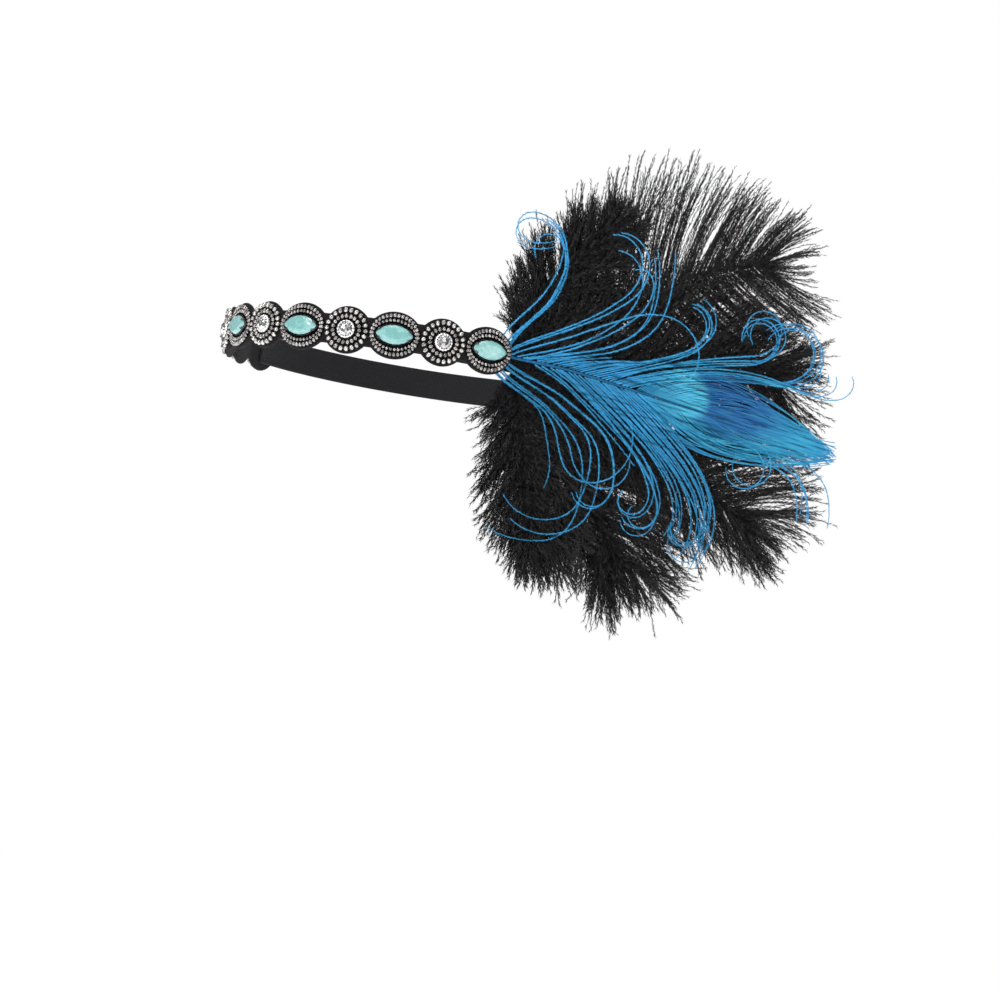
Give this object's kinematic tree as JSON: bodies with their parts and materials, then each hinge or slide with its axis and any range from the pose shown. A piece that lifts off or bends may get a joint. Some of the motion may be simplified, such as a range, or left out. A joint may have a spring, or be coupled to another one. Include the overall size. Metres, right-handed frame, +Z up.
{
  "type": "flapper headpiece",
  "caption": "Beaded headband with pointed stones and round crystals on scalloped felt, elastic at the back, and a side spray of black ostrich plumes with a blue peacock feather.",
  "frame": {"origin": "middle of the head opening, in the band's mid plane", "axes": "+Z up through the crown of the head, -Y the way the face looks, +X the wearer's left, where the feathers are"},
  "size_m": [0.2442, 0.2218, 0.2091],
  "materials": {
    "felt": "matte black felt",
    "elastic": "ribbed black elastic",
    "stone": "polished pearly turquoise resin",
    "crystal": "foil-backed cut crystal",
    "silver": "bright silver plate",
    "gunmetal": "dark antique plate",
    "beads": "metal-coated seed beads",
    "ostrich": "fluffy dyed feather",
    "peacock": "silky dyed feather"
  },
  "bodies": {
    "root": {"felt_band": "felt", "elastic_band": "elastic", "navette_stone_1": "stone", "navette_stone_2": "stone", "navette_stone_3": "stone", "navette_stone_4": "stone", "navette_stone_5": "stone", "navette_stone_6": "stone", "navette_setting_1": "gunmetal", "navette_setting_2": "gunmetal", "navette_setting_3": "gunmetal", "navette_setting_4": "gunmetal", "navette_setting_5": "gunmetal", "navette_setting_6": "gunmetal", "crystal_1": "crystal", "crystal_2": "crystal", "crystal_3": "crystal", "crystal_4": "crystal", "crystal_5": "crystal", "crystal_setting_1": "silver", "crystal_setting_2": "silver", "crystal_setting_3": "silver", "crystal_setting_4": "silver", "crystal_setting_5": "silver", "bead_rows_1": "beads", "bead_rows_2": "beads", "bead_rows_3": "beads", "bead_rows_4": "beads", "bead_rows_5": "beads", "bead_rows_6": "beads", "bead_rows_7": "beads", "bead_rows_8": "beads", "bead_rows_9": "beads", "bead_rows_10": "beads", "bead_rows_11": "beads", "ostrich_plume_1": "ostrich", "ostrich_plume_2": "ostrich", "ostrich_plume_3": "ostrich", "ostrich_plume_4": "ostrich", "ostrich_plume_5": "ostrich", "ostrich_plume_6": "ostrich", "peacock_feather": "peacock"}
  },
  "joints": []
}
